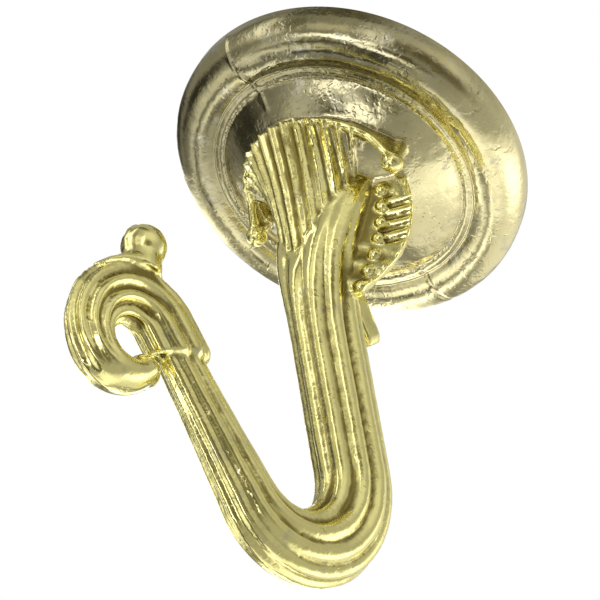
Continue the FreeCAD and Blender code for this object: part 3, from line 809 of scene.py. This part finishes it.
def write_points(mesh, points):
    """Moves a mesh's points."""
    mesh.vertices.foreach_set("co", points.astype(np.float32).ravel())
    mesh.update()


def weather(thing, base, wave):
    """Makes the cast skin uneven, and raises the parting seam across the rim."""
    points, normals = read_points(thing.data)
    swell = np.array([noise.noise(Vector(p) * BROAD_WAVES) + FINE_SHARE * noise.noise(Vector(p) * FINE_WAVES)
                      for p in points])
    radius = np.hypot(points[:, 0], points[:, 1])
    on_rim = ease((radius - SEAM_START) / SEAM_SOFT) * (points[:, 2] < BACK - BACK_SNAP)
    seam = np.exp(-(points[:, 1] / SEAM_WIDTH) ** 2) * on_rim * np.where(points[:, 0] < 0, 1.0, SEAM_SUNK)
    write_points(thing.data, points + normals * (wave * swell + base.seam_height * seam)[:, None])


def true_up(thing, base):
    """Makes the flat faces and round walls of the back true."""
    points, _ = read_points(thing.data)
    radius = np.hypot(points[:, 0], points[:, 1])
    back = base.radius - base.back_rim
    walls = ((base.radius, base.land), (back, base.recess_depth), (base.boss_radius, base.recess_depth))
    for wall, low in walls:
        near = (np.abs(radius - wall) < WALL_SNAP) & (points[:, 2] > BACK - low)
        points[near, :2] *= (wall / radius[near])[:, None]
    points[points[:, 2] > BACK - BACK_SNAP, 2] = BACK
    near_floor = np.abs(points[:, 2] - BACK + base.recess_depth) < WALL_SNAP
    points[(radius > base.boss_radius) & (radius < back) & near_floor, 2] = BACK - base.recess_depth
    write_points(thing.data, points)


def folded_faces(work):
    """Faces of a closed mesh that lie on another face, or have an edge of their own."""
    layers = Counter(frozenset(face.verts) for face in work.faces)
    return [face for face in work.faces
            if layers[frozenset(face.verts)] > 1 or any(edge.is_boundary for edge in face.edges)]


def small_islands(work):
    """Faces of the closed pockets that lie apart from the skin."""
    seen, crumbs = set(), []
    for face in work.faces:
        if face in seen:
            continue
        seen.add(face)
        island, waiting = [], [face]
        while waiting:
            island.append(waiting.pop())
            beside = {other for edge in island[-1].edges for other in edge.link_faces} - seen
            seen |= beside
            waiting += beside
        if len(island) < CRUMB_FACES:
            crumbs += island
    return crumbs


def drop_crumbs(thing):
    """Fuses points that lie on each other, drops folds and pockets, and closes what that leaves open."""
    work = bmesh.new()
    work.from_mesh(thing.data)
    bmesh.ops.remove_doubles(work, verts=work.verts, dist=SAME_POINT)
    bmesh.ops.dissolve_degenerate(work, dist=SAME_POINT, edges=work.edges)
    bmesh.ops.triangulate(work, faces=work.faces)
    bmesh.ops.delete(work, geom=folded_faces(work), context="FACES")
    rims = [edge for edge in work.edges if edge.is_boundary]
    filled = bmesh.ops.holes_fill(work, edges=rims)["faces"]
    bmesh.ops.triangulate(work, faces=filled)
    bmesh.ops.delete(work, geom=small_islands(work), context="FACES")
    work.to_mesh(thing.data)
    work.free()


def cut_thread(thing, base):
    """Cuts the tapped hole, with its thread, into the back."""
    turns = np.linspace(0, 2 * math.pi, THREAD_POINTS, endpoint=False)
    depth = THREAD_DEPTH * base.thread_pitch
    rings = []
    for z in np.arange(THREAD_ABOVE, -base.screw_depth, -base.thread_pitch / THREAD_STEPS):
        phase = ((z / base.thread_pitch) + turns / (2 * math.pi)) % 1.0
        threaded = z > -base.screw_depth + base.thread_pitch
        radius = base.screw_radius + depth * np.abs(2 * phase - 1) * threaded
        rings.append(np.stack([radius * np.cos(turns), radius * np.sin(turns),
                               np.full_like(turns, BACK + z)], axis=1))
    forms = Forms()
    forms.skin(rings[::-1])
    cutter = object_from("thread_cutter", np.concatenate(forms.points), forms.faces)
    cut = thing.modifiers.new("Tapped hole", "BOOLEAN")
    cut.operation = "DIFFERENCE"
    cut.solver = "EXACT"
    cut.object = cutter
    applied(thing)
    bpy.data.objects.remove(cutter)


def thin_out(thing, triangles):
    """Leaves the given number of triangles, where the skin bends most."""
    tris = sum(len(p.vertices) - 2 for p in thing.data.polygons)
    thin = thing.modifiers.new("Thinned", "DECIMATE")
    thin.ratio = min(1.0, triangles / tris)
    applied(thing)


def mark_surface(thing, base):
    """Stores where the skin is base, and how hollow it is, for the finish and for the painted shade in its
    crevices.
    """
    mesh = thing.data
    points, normals = read_points(mesh)
    radius = np.hypot(points[:, 0], points[:, 1])
    profile = base_profile(base)[:DOME_POINTS + BEAD_POINTS + RIM_POINTS]
    face = BACK - np.interp(radius, profile[:, 0], profile[:, 1])
    on_base = ease((points[:, 2] - face + FINISH_REACH) / FINISH_SOFT)
    edges = np.empty(len(mesh.edges) * 2, np.int32)
    mesh.edges.foreach_get("vertices", edges)
    first, second = edges.reshape(-1, 2).T
    degree = np.bincount(first, minlength=len(points)) + np.bincount(second, minlength=len(points))

    def averaged(values):
        total = np.zeros_like(values)
        np.add.at(total, first, values[second])
        np.add.at(total, second, values[first])
        return total / np.maximum(degree, 1).reshape(-1, *[1] * (values.ndim - 1))

    spread = points
    for _ in range(HOLLOW_ROUNDS):
        spread = averaged(spread)
    hollow = ((spread - points) * normals).sum(1) / HOLLOW_UNIT
    for _ in range(SOFTEN_ROUNDS):
        hollow = averaged(hollow)
    for name, values in (("on_base", on_base), ("hollow", hollow)):
        layer = mesh.attributes.new(name, "FLOAT", "POINT")
        layer.data.foreach_set("value", values.astype(np.float32))


# Brass finish

class Nodes:
    """A node tree with short calls for adding and joining nodes."""

    def __init__(self, tree):
        self.tree = tree

    def add(self, kind, values=None, links=None, **settings):
        """A node with settings, socket values and incoming links."""
        node = self.tree.nodes.new(kind)
        for name, value in settings.items():
            setattr(node, name, value)
        for socket, value in (values or {}).items():
            node.inputs[socket].default_value = value
        for socket, source in (links or {}).items():
            self.tree.links.new(source, node.inputs[socket])
        return node

    def math(self, operation, first, second, clamp=False):
        """A math node on two values, each a socket or a number."""
        node = self.add("ShaderNodeMath", operation=operation, use_clamp=clamp)
        for socket, value in zip(node.inputs, (first, second)):
            if isinstance(value, (int, float)):
                socket.default_value = value
            else:
                self.tree.links.new(value, socket)
        return node.outputs[0]

    def ramp(self, value, low, high):
        """A value stretched so that low becomes 0 and high becomes 1."""
        node = self.add("ShaderNodeMapRange", {"From Min": low, "From Max": high}, {"Value": value},
                        interpolation_type="SMOOTHSTEP")
        return node.outputs["Result"]

    def mix(self, factor, first, second):
        """A mix of two colours, each a socket or a colour."""
        node = self.add("ShaderNodeMix", data_type="RGBA")
        for socket, value in zip((node.inputs[0], node.inputs[6], node.inputs[7]), (factor, first, second)):
            if isinstance(value, bpy.types.NodeSocket):
                self.tree.links.new(value, socket)
            elif hasattr(value, "__len__"):
                socket.default_value = (*value, 1.0)
            else:
                socket.default_value = value
        return node.outputs[2]

    def noise(self, place, scale, detail=3.0, rough=0.6):
        """Soft noise, as a value."""
        node = self.add("ShaderNodeTexNoise", {"Scale": scale, "Detail": detail, "Roughness": rough},
                        {"Vector": place})
        return node.outputs["Fac"]


EFFECT_INPUTS = (("Place", "NodeSocketVector"), ("Amount", "NodeSocketFloat"))


def empty_material(name):
    """A material without nodes, and its node tree."""
    material = bpy.data.materials.new(name)
    material.use_nodes = True
    material.node_tree.nodes.clear()
    return material, Nodes(material.node_tree)


def group(name, inputs, outputs):
    """An empty shader node group with named sockets, and its two end nodes."""
    tree = bpy.data.node_groups.new(name, "ShaderNodeTree")
    for socket, kind in inputs:
        tree.interface.new_socket(socket, in_out="INPUT", socket_type=kind)
    for socket, kind in outputs:
        tree.interface.new_socket(socket, in_out="OUTPUT", socket_type=kind)
    nodes = Nodes(tree)
    return nodes, nodes.add("NodeGroupInput").outputs, nodes.add("NodeGroupOutput").inputs


def cast_pits_group():
    """Pits and grain of a die casting under its plating: a height, and a mask of the rough places."""
    nodes, given, out = group("Cast pits", EFFECT_INPUTS,
                              [("Height", "NodeSocketFloat"), ("Rough", "NodeSocketFloat")])
    patches = nodes.ramp(nodes.noise(given["Place"], 260.0), 0.42, 0.66)
    grain = nodes.noise(given["Place"], 2600.0, 2.0)
    pits = nodes.ramp(nodes.noise(given["Place"], 1500.0, 1.0), 0.36, 0.50)
    rough = nodes.math("MULTIPLY", patches, given["Amount"], clamp=True)
    height = nodes.math("ADD", nodes.math("MULTIPLY", grain, 0.35), nodes.math("MULTIPLY", pits, 0.65))
    nodes.tree.links.new(nodes.math("MULTIPLY", height, nodes.math("ADD", rough, 0.25)), out["Height"])
    nodes.tree.links.new(rough, out["Rough"])
    return nodes.tree


def stain_group():
    """Stained and worn patches of plating, as two masks."""
    nodes, given, out = group("Plating stains", EFFECT_INPUTS,
                              [("Dull", "NodeSocketFloat"), ("Grey", "NodeSocketFloat")])
    clouds = nodes.noise(given["Place"], 190.0, 5.0, 0.65)
    specks = nodes.noise(given["Place"], 1100.0, 3.0, 0.7)
    dull = nodes.math("MULTIPLY", nodes.ramp(clouds, 0.46, 0.72), nodes.ramp(specks, 0.35, 0.62))
    worn = nodes.math("MULTIPLY", nodes.ramp(nodes.noise(given["Place"], 330.0, 4.0), 0.52, 0.7),
                      nodes.ramp(specks, 0.44, 0.6))
    nodes.tree.links.new(nodes.math("MULTIPLY", dull, given["Amount"], clamp=True), out["Dull"])
    nodes.tree.links.new(nodes.math("MULTIPLY", worn, given["Amount"], clamp=True), out["Grey"])
    return nodes.tree


def brass_material(finish):
    """Bright brass plating: pale and stained on the base, yellow on the hook, with painted shade darkening
    the crevices.
    """
    material, nodes = empty_material("Brass plate")
    place = nodes.add("ShaderNodeTexCoord").outputs["Object"]
    on_base = nodes.add("ShaderNodeAttribute", attribute_name="on_base").outputs["Fac"]
    hollow = nodes.add("ShaderNodeAttribute", attribute_name="hollow").outputs["Fac"]
    amount = nodes.math("ADD", nodes.math("MULTIPLY", on_base, 0.1), 0.55)
    pits = nodes.add("ShaderNodeGroup", None, {}, node_tree=cast_pits_group())
    stains = nodes.add("ShaderNodeGroup", None, {}, node_tree=stain_group())
    for effect in (pits, stains):
        nodes.tree.links.new(place, effect.inputs["Place"])
        nodes.tree.links.new(amount, effect.inputs["Amount"])
    plated = nodes.mix(on_base, finish.bright, finish.pale)
    along = nodes.add("ShaderNodeSeparateXYZ", None, {"Vector": place}).outputs["X"]
    cloudy = nodes.math("ADD", along, nodes.math("MULTIPLY", nodes.noise(place, 210.0, 4.0), 0.014))
    clean = nodes.ramp(cloudy, -0.004, 0.013)
    tarnished = nodes.math("MULTIPLY", nodes.math("SUBTRACT", 1.0, clean),
                           nodes.math("MULTIPLY", on_base, 0.85))
    darkened = nodes.mix(tarnished, plated, finish.tarnish)
    stained = nodes.mix(stains.outputs["Dull"], darkened, finish.dull)
    worn = nodes.mix(stains.outputs["Grey"], stained, finish.grey)
    speck = nodes.math("SUBTRACT", 1.0, nodes.ramp(nodes.noise(place, 2300.0, 2.0), 0.30, 0.40))
    specked = nodes.mix(nodes.math("MULTIPLY", speck, pits.outputs["Rough"]), worn, finish.grime_and_shade)
    # Painted shade: crevices, found by how hollow the skin is, are darkened towards the grime colour, mostly
    # on the hook
    bare = nodes.math("SUBTRACT", 1.0, nodes.math("MULTIPLY", on_base, 0.9))
    crevice_shade = nodes.math("MULTIPLY", nodes.ramp(hollow, 0.2, 1.3), bare)
    coloured = nodes.mix(crevice_shade, specked, finish.grime_and_shade)
    rough = nodes.math("ADD", nodes.math("MULTIPLY", pits.outputs["Rough"], 0.12),
                       nodes.math("MULTIPLY", stains.outputs["Dull"], 0.10))
    rough = nodes.math("ADD", rough, nodes.math("ADD", nodes.math("MULTIPLY", crevice_shade, 0.25), 0.10))
    bump = nodes.add("ShaderNodeBump", {"Strength": 0.35, "Distance": 0.00008},
                     {"Height": pits.outputs["Height"]})
    brass = nodes.add("ShaderNodeBsdfPrincipled", {"Metallic": 1.0},
                      {"Base Color": coloured, "Roughness": rough, "Normal": bump.outputs["Normal"]})
    nodes.add("ShaderNodeOutputMaterial", None, {"Surface": brass.outputs[0]})
    return material


# Stage

def tent_material():
    """Cloth that shines with the colour stored on the tent."""
    material, nodes = empty_material("Light tent")
    glow = nodes.add("ShaderNodeAttribute", attribute_name="glow").outputs["Color"]
    cloth = nodes.add("ShaderNodeEmission", None, {"Color": glow})
    nodes.add("ShaderNodeOutputMaterial", None, {"Surface": cloth.outputs[0]})
    return material


def floor_material():
    """Pale matte floor, lit by the white all round."""
    material, nodes = empty_material("Pale floor")
    matte = nodes.add("ShaderNodeBsdfDiffuse", {"Color": (0.98, 0.98, 0.98, 1.0)})
    nodes.add("ShaderNodeOutputMaterial", None, {"Surface": matte.outputs[0]})
    return material


def studio_world():
    """Plain white all round."""
    world = bpy.data.worlds.new("Studio")
    world.use_nodes = True
    world.node_tree.nodes.clear()
    nodes = Nodes(world.node_tree)
    glow = nodes.add("ShaderNodeBackground", {"Color": (1.0, 1.0, 1.0, 1.0), "Strength": 1.0})
    nodes.add("ShaderNodeOutputWorld", None, {"Surface": glow.outputs[0]})
    bpy.context.scene.world = world


def facing(azimuth, elevation):
    """Direction from the object, in degrees: azimuth from +Y towards +X, elevation above the horizon."""
    turn, tilt = np.radians(azimuth), np.radians(elevation)
    return np.stack([np.sin(turn) * np.cos(tilt), np.cos(turn) * np.cos(tilt), np.sin(tilt)], axis=-1)


# Soft patches of the tent, each over the ones before: azimuth, elevation, half width, half height, colour
TENT_CLOTH = (0.44, 0.43, 0.38)
TENT_PATCHES = (
    (85, 5, 45, 55, (0.90, 0.88, 0.82)),
    (60, 0, 6, 60, (0.25, 0.24, 0.20)),
    (42, -5, 7, 50, (2.4, 2.4, 2.35)),
    (25, 0, 5, 50, (0.2, 0.2, 0.16)),
    (10, 15, 7, 45, (2.2, 2.2, 2.1)),
    (-12, 26, 13, 22, (0.05, 0.05, 0.04)),
    (118, -5, 16, 40, (2.0, 1.98, 1.9)),
    (45, -62, 50, 16, (1.3, 1.28, 1.2)),
    (-30, -56, 34, 15, (1.4, 1.38, 1.3)),
    (-60, -84, 60, 7, (0.10, 0.10, 0.07)),
    (15, -58, 12, 6, (0.08, 0.08, 0.06)),
    (-100, -64, 40, 9, (0.14, 0.13, 0.09)),
    (-135, -61, 12, 7, (4.0, 4.0, 4.1)),
    (-118, -43, 24, 7, (4.2, 4.2, 4.3)),
    (-152, -47, 16, 15, (0.14, 0.13, 0.07)),
    (-105, 50, 40, 9, (0.10, 0.09, 0.05)),
    (-30, -15, 24, 15, (0.05, 0.05, 0.04)),
    (-100, -8, 45, 14, (0.92, 0.89, 0.78)),
    (-75, 10, 6, 30, (2.2, 2.18, 2.1)),
    (-92, 5, 6, 30, (0.25, 0.24, 0.18)),
    (-135, -8, 7, 28, (2.0, 2.0, 1.95)),
    (-160, 25, 32, 30, (0.8, 0.78, 0.7)),
    (-168, -12, 24, 18, (0.16, 0.14, 0.08)),
)


TENT_ROWS = 60
TENT_COLUMNS = 120
# Elevation at which the tent ends, and how steeply a patch fades
TENT_TOP = 88
PATCH_POWER = 1.5


def make_tent(radius):
    """A round light tent with soft bright and dark patches, which only reflections see."""
    azimuth, elevation = np.meshgrid(np.linspace(-180, 180, TENT_COLUMNS, endpoint=False),
                                     np.linspace(-TENT_TOP, TENT_TOP, TENT_ROWS))
    away = facing(azimuth.ravel(), elevation.ravel())
    glow = np.tile(TENT_CLOTH, (len(away), 1))
    for turn, tilt, wide, high, tint in TENT_PATCHES:
        ahead, right = facing(turn, tilt), facing(turn + 90, 0)
        above = np.cross(right, ahead)
        front, side = away @ ahead, away @ right
        across = np.degrees(np.arctan2(side, front)) / wide
        up = np.degrees(np.arctan2(away @ above, np.hypot(side, front))) / high
        weight = np.exp(-(across ** 2 + up ** 2) ** PATCH_POWER)[:, None]
        glow = glow + (np.array(tint) - glow) * weight
    middle = (np.array(cad_box[0]) + np.array(cad_box[1])) / 2
    tent = object_from("light_tent", middle + radius * away, quads_between(TENT_ROWS, TENT_COLUMNS))
    layer = tent.data.attributes.new("glow", "FLOAT_COLOR", "POINT")
    layer.data.foreach_set("color", np.append(glow, np.ones((len(glow), 1)), axis=1).ravel())
    tent.data.materials.append(tent_material())
    tent.data.shade_smooth()
    tent.visible_camera = False
    tent.visible_diffuse = False
    tent.visible_shadow = False


# Operators and panel

class HOOK_OT_casting(bpy.types.Operator):
    """Builds the casting as one skin with its brass finish"""
    bl_idname = "hook.casting"
    bl_label = "Build the casting"

    def execute(self, context):
        scene = context.scene
        base, neck, detail = scene.hook_base, scene.hook_neck, scene.hook_skin
        rod = Rod(scene.hook_rod)
        scroll = Scroll(scene.hook_scroll, rod)
        forms = Forms()
        add_base(forms, base)
        add_rod(forms, rod, scroll.sizes.collar_run)
        add_scroll(forms, scroll, rod.sizes.reeds, rod.sizes.reed_depth)
        add_ball(forms, scroll)
        add_fan(forms, neck, base, rod)
        add_knobs(forms, neck, base)
        add_beads(forms, neck, rod)
        add_leaves(forms, neck, rod)
        add_spur(forms, neck, rod)
        casting = make_skin("brass_hook", forms, detail.voxel)
        weather(casting, base, detail.wave)
        thin_out(casting, detail.faces)
        true_up(casting, base)
        cut_thread(casting, base)
        drop_crumbs(casting)
        mark_surface(casting, base)
        casting.data.shade_smooth()
        casting.data.set_sharp_from_angle(angle=SHARP_ANGLE)
        casting.data.materials.clear()
        casting.data.materials.append(brass_material(scene.hook_finish))
        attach(casting, "root")
        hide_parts(NODE)
        return {"FINISHED"}


class HOOK_OT_stage(bpy.types.Operator):
    """Builds the floor, the light tent, the white all round and the camera"""
    bl_idname = "hook.stage"
    bl_label = "Build the stage"

    def execute(self, context):
        scene, stage = context.scene, context.scene.hook_stage
        half = stage.floor_size / 2
        corners = [(x * half, y * half, BACK - stage.floor_drop)
                   for x, y in ((-1, -1), (1, -1), (1, 1), (-1, 1))]
        floor = object_from("floor", corners, [(0, 1, 2, 3)])
        floor.data.materials.append(floor_material())
        make_tent(stage.tent_radius)
        studio_world()
        data = bpy.data.cameras.new("Camera")
        data.sensor_width = 36.0
        data.lens = data.sensor_width / 2 / math.tan(stage.field / 2)
        data.clip_start = 0.001
        camera = bpy.data.objects.new("Camera", data)
        camera.location = stage.camera_place
        camera.rotation_euler = stage.camera_turn
        scene.collection.objects.link(camera)
        scene.camera = camera
        scene.view_settings.view_transform = "Standard"
        return {"FINISHED"}


class HOOK_PT_panel(bpy.types.Panel):
    """Lists the builders of the hook"""
    bl_idname = "HOOK_PT_panel"
    bl_label = "Ceiling hook"
    bl_space_type = "VIEW_3D"
    bl_region_type = "UI"
    bl_category = "Hook"

    def draw(self, context):
        for operator in (HOOK_OT_casting, HOOK_OT_stage):
            self.layout.operator(operator.bl_idname)


GROUPS = {
    "hook_base": BaseSizes, "hook_rod": RodSizes, "hook_scroll": ScrollSizes, "hook_neck": NeckSizes,
    "hook_skin": SkinDetail, "hook_finish": BrassFinish, "hook_stage": StudioStage,
}
CLASSES = (*GROUPS.values(), HOOK_OT_casting, HOOK_OT_stage, HOOK_PT_panel)


def register():
    """Registers the classes and hangs the settings on the scene."""
    for cls in CLASSES:
        bpy.utils.register_class(cls)
    for name, cls in GROUPS.items():
        setattr(bpy.types.Scene, name, PointerProperty(type=cls))


def unregister():
    """Takes the settings and classes away again."""
    for name in GROUPS:
        delattr(bpy.types.Scene, name)
    for cls in reversed(CLASSES):
        bpy.utils.unregister_class(cls)


def main():
    """Builds the hook and its stage."""
    register()
    bpy.ops.hook.casting()
    bpy.ops.hook.stage()


if __name__ == "__main__":
    main()
